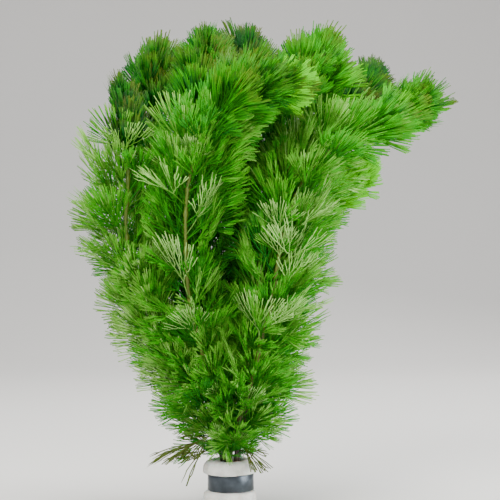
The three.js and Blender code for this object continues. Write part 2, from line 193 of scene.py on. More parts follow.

# Crown leaves listed one by one: the share of the stem, compass angle, rise, twist, length and tone of each
CROWN_FANS = {
    "right": (
        (0.93, 345, 20, 80, 34, 0.74), (0.94, 345, 38, 84, 35, 0.66), (0.94, 345, 54, 80, 33, 0.5),
        (0.95, 350, 68, 86, 30, 0.36), (0.94, 165, 76, 84, 32, 0.3), (0.94, 165, 60, 84, 31, 0.24),
        (0.87, 300, 40, 0, 32, 0.5)),
    "front_left": (
        (0.96, 270, 80, 0, 29, 1.15), (0.97, 275, 72, 8, 29, 1.1), (0.95, 262, 76, -12, 28, 1.15),
        (0.9, 90, 60, 0, 34, 0.4), (0.88, 250, 62, 20, 33, 0.45)),
    # Painted shade: the back crown's tones near 0 darken it where it stands behind the others
    "back": (
        (0.93, 0, 62, 84, 29, 0.02), (0.93, 180, 66, 84, 33, 0.04), (0.94, 20, 42, 80, 22, 0.0),
        (0.94, 180, 82, 84, 32, 0.06)),
    "middle": (
        (0.92, 0, 36, 80, 25, 0.7), (0.93, 0, 58, 84, 25, 0.68), (0.92, 180, 72, 84, 31, 0.26)),
    "left_back": (
        (0.9, 0, 74, 84, 33, 0.2), (0.91, 180, 80, 84, 33, 0.08)),
    "right_back": (
        (0.91, 190, 40, 84, 29, 0.02), (0.93, 190, 56, 84, 29, 0.04), (0.9, 10, 46, 84, 29, 0.02),
        (0.92, 10, 70, 84, 30, 0.04), (0.93, 190, 76, 84, 28, 0.0)),
    "front_right": (
        (0.95, 165, 86, 84, 30, 0.26), (0.95, 345, 74, 84, 37, 0.3), (0.91, 345, 84, 84, 30, 0.72),
        (0.9, 270, 70, 10, 31, 0.7)),
}


# Settings

class FoliageSettings(bpy.types.PropertyGroup):
    """Number, threads and colours of the leaves"""

    node_gap: FloatProperty(
        name="Node gap", description="Usual distance from one leafy node to the next",
        default=6.0 * MM, unit="LENGTH")
    skirt: IntProperty(
        name="Skirt nodes", description="Leafy nodes between the foam and a stem's first whorl", default=4, min=0)
    crown_leaves: IntProperty(
        name="Crown leaves", description="Leaves in the bushy tip of each stem", default=36, min=4)
    thread_width: FloatProperty(
        name="Thread width", description="Width of a leaf's finest segments where they start",
        default=0.58 * MM, unit="LENGTH")
    open_thread_width: FloatProperty(
        name="Open thread width", description="The same, in the open leaves that stand out in front",
        default=0.54 * MM, unit="LENGTH")
    crown_thread_width: FloatProperty(
        name="Crown thread width", description="The same, in the younger leaves of the crowns",
        default=0.56 * MM, unit="LENGTH")
    old_olive: FloatVectorProperty(
        name="Old olive", description="Thin old leaves by the foot", subtype="COLOR", default=(0.12, 0.17, 0.028))
    # Painted shade: this darkest green stands for the shade that falls inside the bunch
    inner_shade_green: FloatVectorProperty(
        name="Deep green", description="Old leaves, inside the bunch", subtype="COLOR", default=(0.006, 0.085, 0.011))
    mid_green: FloatVectorProperty(
        name="Mid green", description="Most of the leaves", subtype="COLOR", default=(0.026, 0.28, 0.021))
    fresh_green: FloatVectorProperty(
        name="Fresh green", description="The darker crowns", subtype="COLOR", default=(0.022, 0.27, 0.002))
    bright_green: FloatVectorProperty(
        name="Bright green", description="Young leaves at the crowns", subtype="COLOR", default=(0.042, 0.45, 0.001))
    lime_green: FloatVectorProperty(
        name="Lime green", description="The youngest crowns", subtype="COLOR", default=(0.17, 0.72, 0.0))
    olive_green: FloatVectorProperty(
        name="Olive green", description="The lighter leaves outside", subtype="COLOR", default=(0.2, 0.52, 0.05))
    tip_brown: FloatVectorProperty(
        name="Tip brown", description="The tips of young leaves", subtype="COLOR", default=(0.2, 0.21, 0.008))
    pale_green: FloatVectorProperty(
        name="Pale green", description="The pale leaves that stand out in front", subtype="COLOR",
        default=(0.46, 0.78, 0.22))


class StemSettings(bpy.types.PropertyGroup):
    """Mesh and colours of the stems"""

    sides: IntProperty(name="Sides", description="Sides of a stem's round section", default=12, min=6)
    step: FloatProperty(
        name="Step", description="Distance between the rings of a stem", default=0.9 * MM, unit="LENGTH")
    swelling: FloatProperty(
        name="Swelling", description="How far a stem swells at each node", default=0.5 * MM, unit="LENGTH")
    low_color: FloatVectorProperty(
        name="Lower stem", description="Dark brown near the foot", subtype="COLOR", default=(0.035, 0.022, 0.008))
    middle_color: FloatVectorProperty(
        name="Middle of the stem", description="Olive brown", subtype="COLOR", default=(0.15, 0.17, 0.025))
    high_color: FloatVectorProperty(
        name="Upper stem", description="Green near the crowns", subtype="COLOR", default=(0.1, 0.17, 0.012))


class FootSettings(bpy.types.PropertyGroup):
    """Folds and colours of the foam and the strip"""

    sides: IntProperty(name="Sides", description="Columns of the foam's surface", default=144, min=24)
    pucker: FloatProperty(
        name="Pucker", description="Depth of the foam's folds above the strip", default=0.45 * MM, unit="LENGTH")
    sag: FloatProperty(
        name="Sag", description="How far the foam hangs over the strip's upper edge", default=0.9 * MM, unit="LENGTH")
    roughness: FloatProperty(
        name="Roughness", description="Height of the small lumps of the foam", default=0.09 * MM, unit="LENGTH")
    foam_color: FloatVectorProperty(
        name="Foam", description="Off-white foam", subtype="COLOR", default=(0.72, 0.71, 0.66))
    strip_color: FloatVectorProperty(
        name="Strip", description="Dull grey metal", subtype="COLOR", default=(0.07, 0.085, 0.1))


class StageSettings(bpy.types.PropertyGroup):
    """Camera, floor and daylight"""

    distance: FloatProperty(
        name="Camera distance", description="From the middle of the bunch", default=0.7, unit="LENGTH")
    view_width: FloatProperty(
        name="View width", description="Width of the picture at the middle of the bunch", default=0.25, unit="LENGTH")
    floor_color: FloatVectorProperty(
        name="Floor", description="Pale floor and backdrop", subtype="COLOR", default=(0.62, 0.6, 0.58))
    daylight: FloatProperty(name="Daylight", description="Strength of the light from all round", default=0.8)


# Vectors

def unit(vector):
    return vector / np.linalg.norm(vector)


def compass_vector(degrees):
    angle = math.radians(degrees)
    return np.array((math.cos(angle), math.sin(angle), 0.0))


def turned(vector, axis, degrees):
    angle = math.radians(degrees)
    return vector * math.cos(angle) + np.cross(axis, vector) * math.sin(angle)


# Stem lines

class Route:
    """The line that a stem follows, by its share of the way from the foot to the tip."""

    samples = 60

    def __init__(self, spot, points):
        foot = np.zeros(3) if spot is None else compass_vector(spot) * BUNDLE_RADIUS
        knots = [foot, foot + UP * FOOT_HEIGHT] + [np.array(p) * MM for p in points]
        knots = [2 * knots[0] - knots[1]] + knots + [2 * knots[-1] - knots[-2]]
        line = []
        for a, b, c, d in zip(knots, knots[1:], knots[2:], knots[3:]):
            for t in np.linspace(0, 1, self.samples, endpoint=False):
                line.append(self.between(a, b, c, d, t))
        line.append(knots[-2])
        self.line = np.array(line)
        steps = np.linalg.norm(np.diff(self.line, axis=0), axis=1)
        self.length = steps.sum()
        self.shares = np.concatenate(([0], np.cumsum(steps))) / self.length

    @staticmethod
    def between(a, b, c, d, t):
        leave, arrive = (c - a) / 2, (d - b) / 2
        return (b * (2 * t**3 - 3 * t**2 + 1) + leave * (t**3 - 2 * t**2 + t)
                + c * (3 * t**2 - 2 * t**3) + arrive * (t**3 - t**2))

    def at(self, share):
        return np.array([np.interp(share, self.shares, self.line[:, i]) for i in range(3)])

    def share_at(self, height):
        return np.interp(height, self.line[:, 2], self.shares)

    def along(self, share):
        return unit(self.at(min(share + 0.002, 1)) - self.at(max(share - 0.002, 0)))


ROUTES = {name: Route(shoot.spot, shoot.route) for name, shoot in SHOOTS.items()}


def stem_radius(share):
    return STEM_RADIUS + (STEM_TOP_RADIUS - STEM_RADIUS) * share


# Meshes

def add_object(name, verts, faces, material, slot=None, replaced=(), tone=None, reach=None):
    """A mesh object from arrays. With a slot, it is a piece on the bunch's one body."""
    mesh = bpy.data.meshes.new(name)
    mesh.from_pydata(np.asarray(verts), (), faces)
    for label, values in (("tone", tone), ("reach", reach)):
        if values is not None:
            mesh.attributes.new(label, "FLOAT", "POINT").data.foreach_set("value", np.asarray(values, np.float32))
    mesh.materials.append(material)
    mesh.validate()
    mesh.shade_smooth()
    piece = bpy.data.objects.new(name, mesh)
    bpy.context.scene.collection.objects.link(piece)
    if slot:
        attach(piece, BODY)
        if replaced:
            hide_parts(*replaced)
    return piece


def swept_faces(rows, columns, joined=False):
    """Faces between closed rows of vertices, with the last row joined to the first or with a cap at each end."""
    faces = []
    for i in range(rows if joined else rows - 1):
        low, high = i * columns, (i + 1) % rows * columns
        faces += [(low + k, low + (k + 1) % columns, high + (k + 1) % columns, high + k) for k in range(columns)]
    if not joined:
        faces += [tuple(reversed(range(columns))), tuple(range((rows - 1) * columns, rows * columns))]
    return faces


# Materials

def feed(tree, socket, value):
    """Set an input to a value, or link it to the output given."""
    if isinstance(value, bpy.types.NodeSocket):
        tree.links.new(value, socket)
    else:
        socket.default_value = value


def add_node(tree, kind, **settings):
    """A node with its fields and inputs set. An underscore stands for the space in an input's name."""
    node = tree.nodes.new(kind)
    for key, value in settings.items():
        if hasattr(node, key):
            setattr(node, key, value)
        else:
            feed(tree, node.inputs[key.replace("_", " ")], value)
    return node


def new_material(name):
    """A material, its nodes, and the object coordinates that its textures lie in."""
    material = bpy.data.materials.new(name)
    material.use_nodes = True
    place = add_node(material.node_tree, "ShaderNodeTexCoord").outputs["Object"]
    return material, material.node_tree, place


def set_shader(tree, **inputs):
    shader = tree.nodes["Principled BSDF"]
    for key, value in inputs.items():
        feed(tree, shader.inputs[key.replace("_", " ")], value)
    return shader


def add_noise(tree, place, scale, detail):
    return add_node(tree, "ShaderNodeTexNoise", Vector=place, Scale=scale, Detail=detail).outputs["Fac"]


def add_range(tree, value, start, end, low, high):
    """What runs from start to end becomes what runs from low to high, and stops there."""
    node = add_node(tree, "ShaderNodeMapRange", Value=value, From_Min=start, From_Max=end, To_Min=low, To_Max=high)
    return node.outputs["Result"]


def add_math(tree, operation, *values):
    node = add_node(tree, "ShaderNodeMath", operation=operation)
    for socket, value in zip(node.inputs, values):
        feed(tree, socket, value)
    return node.outputs[0]


def add_ramp(tree, value, stops):
    """The colour that a value stands for, from rows of position and colour."""
    ramp = add_node(tree, "ShaderNodeValToRGB", Fac=value)
    elements = ramp.color_ramp.elements
    elements[0].position, elements[0].color = stops[0][0], (*stops[0][1], 1)
    elements[1].position, elements[1].color = stops[-1][0], (*stops[-1][1], 1)
    for position, color in stops[1:-1]:
        elements.new(position).color = (*color, 1)
    return ramp.outputs["Color"]


def add_mix(tree, blend, share, under, over):
    """One colour over another, by a share."""
    mix = add_node(tree, "ShaderNodeMix", data_type="RGBA", blend_type=blend, Factor=share)
    feed(tree, mix.inputs[6], under)
    feed(tree, mix.inputs[7], over)
    return mix.outputs[2]


def add_bump(tree, height, strength, distance):
    return add_node(tree, "ShaderNodeBump", Height=height, Strength=strength, Distance=distance).outputs["Normal"]


def leaf_material(name, stops, tip_lift, tip_color, tip_share):
    """Fine leaf threads: tone runs along the colours, tips differ by tip_lift and turn to tip_color by tip_share."""
    material, tree, place = new_material(name)
    tone = add_node(tree, "ShaderNodeAttribute", attribute_name="tone").outputs["Fac"]
    reach = add_node(tree, "ShaderNodeAttribute", attribute_name="reach").outputs["Fac"]
    speckle = add_range(tree, add_noise(tree, place, 260.0, 3.0), 0.3, 0.7, -0.09, 0.09)
    lift = add_math(tree, "MULTIPLY_ADD", reach, tip_lift, speckle)
    green = add_ramp(tree, add_math(tree, "ADD", lift, tone), stops)
    patches = add_range(tree, add_noise(tree, place, 70.0, 2.0), 0.35, 0.6, 0.0, tip_share)
    tips = add_range(tree, reach, 0.72, 0.98, 0.0, 1.0)
    dark = add_range(tree, tone, 0.5, 0.95, 1.0, 0.0)
    brown = add_math(tree, "MULTIPLY", patches, add_math(tree, "MULTIPLY", dark, tips))
    color = add_mix(tree, "MIX", brown, green, (*tip_color, 1))
    shader = set_shader(tree, Base_Color=color, Roughness=0.5, Specular_IOR_Level=0.12)
    glow = add_node(tree, "ShaderNodeBsdfTranslucent", Color=color)
    both = add_node(tree, "ShaderNodeMixShader", Fac=0.38)
    tree.links.new(shader.outputs["BSDF"], both.inputs[1])
    tree.links.new(glow.outputs["BSDF"], both.inputs[2])
    tree.links.new(both.outputs["Shader"], tree.nodes["Material Output"].inputs["Surface"])
    return material


def stem_material(settings):
    """Round olive stems, browner at the foot, with faint streaks along them."""
    material, tree, place = new_material("stem skin")
    reach = add_node(tree, "ShaderNodeAttribute", attribute_name="reach").outputs["Fac"]
    stretched = add_node(tree, "ShaderNodeMapping", Vector=place, Scale=(1, 1, 0.12)).outputs["Vector"]
    streaks = add_noise(tree, stretched, 1400.0, 4.0)
    color = add_ramp(tree, add_math(tree, "MULTIPLY_ADD", streaks, 0.25, reach), (
        (0.3, settings.low_color), (0.5, settings.middle_color), (1.0, settings.high_color)))
    set_shader(tree, Base_Color=color, Roughness=0.38, Normal=add_bump(tree, streaks, 0.25, 0.2 * MM))
    return material


def foam_material(settings):
    """Open-celled foam: off-white, with small hollows whose colour carries painted shade."""
    material, tree, place = new_material("foam")
    cells = add_node(tree, "ShaderNodeTexVoronoi", Vector=place, Scale=1500.0).outputs["Distance"]
    shade = tuple(0.72 * c for c in settings.foam_color)
    clouds = add_ramp(tree, add_noise(tree, place, 180.0, 4.0), ((0.3, shade), (0.62, settings.foam_color)))
    # Painted shade: the colour darkens towards the middle of each cell, where the bump sinks into a hollow
    painted_pit_shade = add_ramp(tree, cells, ((0.0, (0.55,) * 3), (0.35, (1.0,) * 3)))
    set_shader(
        tree, Base_Color=add_mix(tree, "MULTIPLY", 0.45, clouds, painted_pit_shade), Normal=add_bump(tree, cells, 0.5, 0.4 * MM),
        Roughness=0.9, Subsurface_Weight=0.15, Subsurface_Scale=2 * MM)
    return material


def strip_material(settings):
    """Soft grey metal, dull, with a blurred shine."""
    material, tree, place = new_material("soft metal")
    clouds = add_noise(tree, place, 220.0, 6.0)
    dark = tuple(0.6 * c for c in settings.strip_color)
    set_shader(
        tree, Base_Color=add_ramp(tree, clouds, ((0.32, dark), (0.68, settings.strip_color))), Metallic=0.75,
        Roughness=add_range(tree, clouds, 0.0, 1.0, 0.3, 0.45), Normal=add_bump(tree, clouds, 0.2, 0.3 * MM))
    return material


def floor_material(settings):
    """Matt pale floor, barely clouded."""
    material, tree, place = new_material("pale floor")
    dim = tuple(0.97 * c for c in settings.floor_color)
    color = add_ramp(tree, add_noise(tree, place, 3.0, 2.0), ((0.3, dim), (0.7, settings.floor_color)))
    set_shader(tree, Base_Color=color, Roughness=0.8)
    return material


# Threads: the fine segments of a leaf, as tapered three-sided tubes

class Threads:
    """Collects tubes into one mesh, with how far along the leaf each vertex lies, and its thread's own shade."""

    ring = np.array([(math.cos(a), math.sin(a)) for a in (math.pi / 2, math.pi * 7 / 6, math.pi * 11 / 6)])
    flatness = 0.65

    def __init__(self):
        self.verts, self.faces, self.reach, self.shade, self.count = [], [], [], [], 0

    def tube(self, path, shade):
        """A tube through rows of point, radius and reach, pressed flat at its tip into a short edge."""
        points = np.array([row[0] for row in path])
        radii = np.array([row[1] for row in path])[:, None, None]
        ahead = np.gradient(points, axis=0)
        ahead /= np.linalg.norm(ahead, axis=1)[:, None]
        side = np.cross(ahead, UP)
        side /= np.linalg.norm(side, axis=1)[:, None]
        over = np.cross(side, ahead)
        rings = (points[:, None, :] + radii * (self.ring[None, :, :1] * side[:, None, :]
                 + self.flatness * self.ring[None, :, 1:] * over[:, None, :])).reshape(-1, 3)[:-1]
        rings[-2:] = points[-1] + radii[-1, 0] * np.array(((-1.0,), (1.0,))) * side[-1]
        first, tip = self.count, self.count + 3 * (len(path) - 1)
        self.faces.append((first + 2, first + 1, first))
        for start in range(first, tip - 3, 3):
            for k in range(3):
                a, b = start + k, start + (k + 1) % 3
                self.faces += [(a, b, b + 3), (a, b + 3, a + 3)]
        top, left, right = tip - 3, tip - 2, tip - 1
        self.faces += [(top, left, tip), (top, tip, tip + 1), (left, right, tip + 1), (left, tip + 1, tip),
                       (right, top, tip + 1)]
        self.verts.append(rings)
        self.reach += [row[2] for row in path for _ in range(3)][:len(rings)]
        self.shade += [shade] * len(rings)
        self.count += len(rings)

    def arrays(self):
        return np.concatenate(self.verts), np.array(self.faces), np.array(self.reach), np.array(self.shade)


class Habit(NamedTuple):
    """How one kind of leaf is made, for a leaf of unit length lying along +Y with its upper face +Z."""

    stalk: float  # the stalk's share of the leaf's length
    divisions: int  # main parts that the stalk ends in
    spread: float  # degrees from the middle to the outermost thread
    overlap: float  # how much wider a division fans out than its even share of the spread
    droop: float  # how far its tips sink, in lengths of the leaf
    forks: tuple  # where each division forks, as a share of its length, and the numbers of branches to choose from
    tip: float  # width of a thread at its tip beside its start
    shoulders: bool  # whether branches part widely and then run on side by side, so that every fork shows
    contrast: float  # how much the tone differs from thread to thread


HABITS = {
    "full": Habit(0.24, 5, 56, 1, 0.02, ((0.15, (2,)), (0.34, (2, 3)), (0.6, (2, 3))), 0.75, False, 0.06),
    "young": Habit(0.2, 5, 44, 1, 0.02, ((0.12, (2,)), (0.28, (2, 3)), (0.5, (3,))), 0.85, False, 0.13),
    "slim": Habit(0.2, 3, 22, 1, 0.0, ((0.12, (2,)), (0.28, (2, 3)), (0.5, (3,))), 0.85, False, 0.13),
    "open": Habit(
        0.28, 3, 48, 1.6, 0.02, ((0.14, (2,)), (0.32, (2,)), (0.52, (2,)), (0.74, (1, 2))), 0.85, True, 0.04),
    "thin": Habit(0.3, 4, 46, 1, 0.5, ((0.26, (2,)), (0.55, (2,)), (0.8, (1, 2))), 0.8, True, 0.06),
    "trail": Habit(0.3, 2, 14, 1, 0.6, ((0.3, (1, 2)), (0.6, (1, 2))), 0.8, True, 0.06),
}

# The form of a leaf, in lengths of the leaf and in widths of a thread
USUAL_LEAF = 33 * MM  # the length that a thread's width is given for
SIDE_SHARE = 0.84  # length of the outermost divisions beside the middle one
CUP = 0.16  # how far the blade curls up at its tips
SWEEP = 0.12  # how far a leaf may bend to one side
STALK_WIDTH = 1.9  # of the stalk where it leaves the stem,
STALK_END_WIDTH = 1.4  # and where it parts
FORK_WIDTH = 1.22  # of a branch at its first fork
FORK_TAPER = 0.1  # how much thinner it is at each fork after that
SHOULDER_TURN = 0.9  # share of its turn that a shouldered branch takes
SHOULDER_START = 0.38  # on this share of its way
STALK_REACH = 0.1  # how far along the leaf the stalk's end counts, for its colour

# Old leaves, low on the stems
LOWEST = 45 * MM  # leaves that grow lower than this
HANGING = -0.1  # and point further down than this
HANGING_SIZE = 0.75  # are so much shorter,
DROOPING = -0.185  # and are thin old ones where they point further down than this
OLD_WIDTH = 1.7  # width of their threads beside an open leaf's

# Where leaves grow
BASE_DEPTH = 0.8  # of a leaf's base, in radii of its stem from the stem's middle
LIGHTWARD = 0.5  # how far a leaf under a leaning stem turns up
PARTED = 50  # where a stem shows in front, no extra leaf grows within so many degrees of the front
OVERHANG = 0.025  # how far leaves may reach past the solids' box, beside the box
WHORL_CLEAR = 3.8 * MM  # a whorl's solid is parted into its leaves so far from the stem,
CROWN_CLEAR = 2.4 * MM  # and a crown's so far
LEAST_CORNERS = 8  # of a leaf in a solid

# How the leaves vary. A tone is what is added to the stem's or the crown's own, from the least to the most.
WHORL_TONE = (0.42, 0.68)
EXTRA_TONE = (0.34, 0.64)
SKIRT_TONE = (0.15, 0.55)
TUFT_TONE = (-0.22, -0.04)
BRUSH_TONE = (-0.32, -0.04)
EXTRA_SIZE = (0.78, 0.98)  # length beside the usual one there
SKIRT_SIZE = (0.85, 1.1)
SKIRT_RISE = (14, 58)  # degrees above the stem's square
SKIRT_OPEN = 0.2  # share of the skirt's leaves that are open ones
EXTRA_TWIST = 50  # degrees about its stalk, either way
SKIRT_TWIST = 40
BRUSH_TWIST = 14
TURN_JITTER = 16  # degrees from the even compass angle, in the usual case
SKIRT_JITTER = 30
EXTRA_RISE_JITTER = 9
BRUSH_RISE_JITTER = 3
BRANCH_JITTER = 0.18  # beside a branch's share of the fan
TILT_JITTER = 0.04  # how far a branch leaves the leaf's plane at each fork,
DIVISION_TILT = 0.11  # and a division at the stalk

# Crowns
LEANING = 0.62  # where a stem rises less than this, the first leaves of its crown are narrow
CROWN_LEAF = 0.96  # length of a crown's longest leaf beside the stem's
CROWN_SPAN = 0.155  # share of the stem that the brush of leaves grows from
CROWN_CROWDING = 0.8  # below 1, its leaves stand closer together towards the tip
CROWN_SHORTENING = 0.34  # how much shorter the youngest leaf is than the oldest
CROWN_RISE = 46  # degrees that the oldest leaf stands above the stem's square,
CROWN_STEEPENING = 38  # and by how many more the youngest does


def leaf_pattern(rng, habit, width):
    """One leaf: a stalk that parts in divisions, each forked again and again into an even fan of threads."""
    threads = Threads()
    blade = 1 - habit.stalk
    droop = habit.droop + rng.uniform(-0.1, 0.1)
    lift = rng.uniform(0.6, 1.4) * CUP
    sweep = rng.uniform(-SWEEP, SWEEP)
    spread = math.radians(habit.spread) * rng.uniform(0.82, 1.08)

    def ring(angle, radius, tilt, size):
        """A point of the fan, with its thread's radius and how far along the leaf it lies."""
        x, y = radius * math.sin(angle), habit.stalk + radius * math.cos(angle)
        point = np.array((x + sweep * y**2, y, lift * radius**2 / blade + tilt * radius - droop * y**2))
        return point, size * width, max(0, STALK_REACH + (1 - STALK_REACH) * radius / blade)

    def grow(path, start, angle, half, level, tilt, limit):
        """Go on from start, an angle and a radius, to the next fork of this branch, or to its tip."""
        size = habit.tip
        radius = limit * rng.uniform(0.9, 1.05)
        last = level == len(habit.forks)
        if not last:
            share, choices = habit.forks[level]
            size, radius = FORK_WIDTH - FORK_TAPER * level, limit * share * rng.uniform(0.9, 1.1)
        if habit.shoulders:
            path = path + [ring(
                start[0] + SHOULDER_TURN * (angle - start[0]), start[1] + SHOULDER_START * (radius - start[1]), tilt,
                max(size, 0.9))]
        path = path + [ring(angle, radius, tilt, size)]
        if last:
            threads.tube(path, rng.normal(0, habit.contrast))
            return
        branches = rng.choice(choices)
        part = half / branches
        carried_on = rng.integers(branches)
        for j in range(branches):
            turn = angle - half + part * (2 * j + 1) + rng.normal(0, BRANCH_JITTER) * part
            lean = tilt + rng.normal(0, TILT_JITTER)
            grow(path if j == carried_on else path[-1:], (angle, radius), turn, part, level + 1, lean, limit)

    stalk = [ring(0, -habit.stalk, 0, STALK_WIDTH)]
    stalk += [ring(0, radius, 0, STALK_END_WIDTH) for radius in (-habit.stalk / 2, 0)]
    for i in range(habit.divisions):
        lean = 2 * i / (habit.divisions - 1) - 1
        angle = lean * spread * (1 - 1 / habit.divisions) + rng.normal(0, 0.05)
        limit = blade * (1 - (1 - SIDE_SHARE) * lean**2) * rng.uniform(0.94, 1.02)
        path = stalk if i == habit.divisions // 2 else stalk[-1:]
        grow(path, (0, 0), angle, habit.overlap * spread / habit.divisions, 0,
             rng.normal(0, DIVISION_TILT * habit.overlap**2), limit)
    return threads.arrays()


def leaf_patterns(rng, habit, count, width):
    """Several leaves of one habit, for threads of that width where the leaf is of the usual length."""
    return [leaf_pattern(rng, HABITS[habit], width / 2 / USUAL_LEAF) for _ in range(count)]


# Leaves in place

class Leaf:
    """Where one leaf grows: its base, the way it points, its upper side, its length, its tone and its habit."""

    def __init__(self, base, ahead, upper, length, tone, habit="full"):
        self.base, self.ahead, self.length, self.tone, self.habit = base, ahead, length, tone, habit
        self.across = unit(np.cross(ahead, upper))
        self.upper = np.cross(self.across, ahead)


def leaf_on_stem(route, share, compass, rise, twist, length, tone, habit="full"):
    """A leaf that leans to a compass angle, rises above the stem's square and is turned about its stalk by twist."""
    along = route.along(share)
    out = compass_vector(compass)
    out = unit(out - along * out.dot(along))
    ahead = out * math.cos(math.radians(rise)) + along * math.sin(math.radians(rise))
    ahead = unit(ahead + UP * LIGHTWARD * max(-out[2], 0))
    across = turned(np.cross(out, along), ahead, twist)
    base = route.at(share) + out * stem_radius(share) * BASE_DEPTH
    return Leaf(base, ahead, np.cross(across, ahead), length, tone, habit)


def leaf_islands(node, route, near, clear):
    """The vertices of each leaf in a solid: what hangs together once all near the stem is left out."""
    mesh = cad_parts[node].data
    verts = np.array([v.co for v in mesh.vertices])
    keys, where = np.unique(np.round(verts, 6), axis=0, return_inverse=True)
    where = where.reshape(-1)
    line = np.array([route.at(s) for s in near])
    far = np.min(np.linalg.norm(keys[:, None] - line[None], axis=2), axis=1) > clear
    owner = list(range(len(keys)))

    def root(i):
        while owner[i] != i:
            owner[i] = owner[owner[i]]
            i = owner[i]
        return i

    for face in mesh.polygons:
        corners = [where[v] for v in face.vertices if far[where[v]]]
        for a, b in zip(corners, corners[1:]):
            owner[root(a)] = root(b)
    islands = {}
    for i in np.flatnonzero(far):
        islands.setdefault(root(i), []).append(keys[i])
    return [np.array(island) for island in islands.values() if len(island) >= LEAST_CORNERS]


def leaf_from_solid(points, route, share, tone, habit="full"):
    """The leaf that a solid's plate stands for, from the spread of the plate's corners."""
    centre, along = route.at(share), route.along(share)
    middle = points.mean(axis=0)
    across = np.linalg.svd(points - middle)[2][0]
    ahead = middle - centre
    ahead = unit(ahead - across * ahead.dot(across))
    upper = np.cross(across, ahead)
    forward = (points - centre) @ ahead
    curl = np.polyfit(forward, (points - centre) @ upper, 2)[0]
    if curl < 0:
        upper = -upper
    out = unit(ahead - along * ahead.dot(along))
    base = centre + out * stem_radius(share) * BASE_DEPTH
    length = ((points - base) @ ahead).max() / 0.97
    return Leaf(base, ahead, upper, length, tone, habit)


def leaves_object(name, leaves, patterns, rng, material, slot, replaced):
    """One mesh of many leaves. A leaf that would reach past the solids' box by more than OVERHANG is shortened."""
    low, high = (np.array(corner) for corner in CAD_BOX)
    limits = low - OVERHANG * (high - low), high + OVERHANG * (high - low)
    verts, faces, tones, reaches, count = [], [], [], [], 0
    for leaf in leaves:
        shape, triangles, reach, shade = patterns[leaf.habit][rng.integers(len(patterns[leaf.habit]))]
        mirror = rng.choice((-1.0, 1.0))
        width = mirror * rng.uniform(0.84, 1.1)
        turn = np.array((leaf.across, leaf.ahead, leaf.upper))
        offset = (shape * (width, 1, 1) * leaf.length) @ turn
        excess = max((offset / (limits[0] - leaf.base)).max(), (offset / (limits[1] - leaf.base)).max(), 1)
        verts.append(leaf.base + offset / excess)
        faces.append((triangles if mirror > 0 else triangles[:, ::-1]) + count)
        tones.append(leaf.tone + shade)
        reaches.append(reach)
        count += len(shape)
    return add_object(name, np.concatenate(verts), np.concatenate(faces), material, slot, replaced,
                      tone=np.concatenate(tones), reach=np.concatenate(reaches))


def whorl_shares(name):
    """Where the whorls of a stem sit, as shares of it."""
    shoot = SHOOTS[name]
    return [shoot.first + i * (CROWN_START - shoot.first) / shoot.whorls for i in range(shoot.whorls)]


def node_shares(name, gap):
    """All leafy nodes of a stem below its crown, as one list for each whorl of the solids."""
    marks = whorl_shares(name) + [CROWN_START]
    count = round((marks[1] - marks[0]) * ROUTES[name].length / gap)
    return [[low + (high - low) * k / count for k in range(count)] for low, high in zip(marks, marks[1:])]


def hides_stem(shoot, leaf, compass):
    """Whether a leaf would cover the front of a stem where it shows."""
    shows = any(low < leaf.base[2] / MM < high for low, high in shoot.bare)
    return shows and abs((compass - FRONT + 180) % 360 - 180) < PARTED


def usual_rise(share):
    """Degrees that a leaf stands above the stem's square, more towards the tip."""
    return 26 + 40 * share


def usual_size(share):
    """Length of a leaf beside the stem's longest, short at the foot."""
    return min(0.62 + 1.1 * share, 1)


def standouts(name, low, high):
    """The listed leaves that grow from one share of a stem to another."""
    route = ROUTES[name]
    for height, compass, rise, twist, length, tone, *habit in STANDOUTS.get(name, ()):
        share = route.share_at(height * MM)
        if low <= share < high:
            yield leaf_on_stem(route, share, compass, rise, twist, length * MM, tone, *habit)


# Pieces

class PLANT_OT_stems(bpy.types.Operator):
    """Grow the stems, with a slight swelling at each node"""
    bl_idname = "plant.stems"
    bl_label = "Stems"

    def execute(self, context):
        settings = context.scene.plant_stems
        material = stem_material(settings)
        for name, route in ROUTES.items():
            nodes = [s for group in node_shares(name, context.scene.plant_foliage.node_gap) for s in group[::3]]
            nodes += list(np.linspace(CROWN_START, 0.99, 7))
            shares = np.linspace(0, 1, int(route.length / settings.step))
            swell = sum(np.exp(-(((shares - n) * route.length / NODE_LENGTH) ** 2)) for n in nodes)
            taper = 1 - TIP_TAPER * np.clip((shares - 0.9) / 0.1, 0, 1)
            radii = stem_radius(shares) * taper + settings.swelling * swell
            self.add_stem(name, route, shares, radii, settings, material)
        return {"FINISHED"}

    def add_stem(self, name, route, shares, radii, settings, material):
        """A round tube along the stem's line, of one radius for each share."""
        angles = np.linspace(0, 2 * math.pi, settings.sides, endpoint=False)
        verts = []
        for share, radius in zip(shares, radii):
            along = UP if share == 0 else route.along(share)
            side = unit(np.array((1.0, 0, 0)) - along * along[0])
            over = np.cross(along, side)
            verts += [route.at(share) + radius * (math.cos(a) * side + math.sin(a) * over) for a in angles]
        faces = swept_faces(len(shares), settings.sides)
        reach = np.repeat(shares, settings.sides)
        add_object(f"shoot_{name}", verts, faces, material, "stem", (f"stem_{name}",), reach=reach)


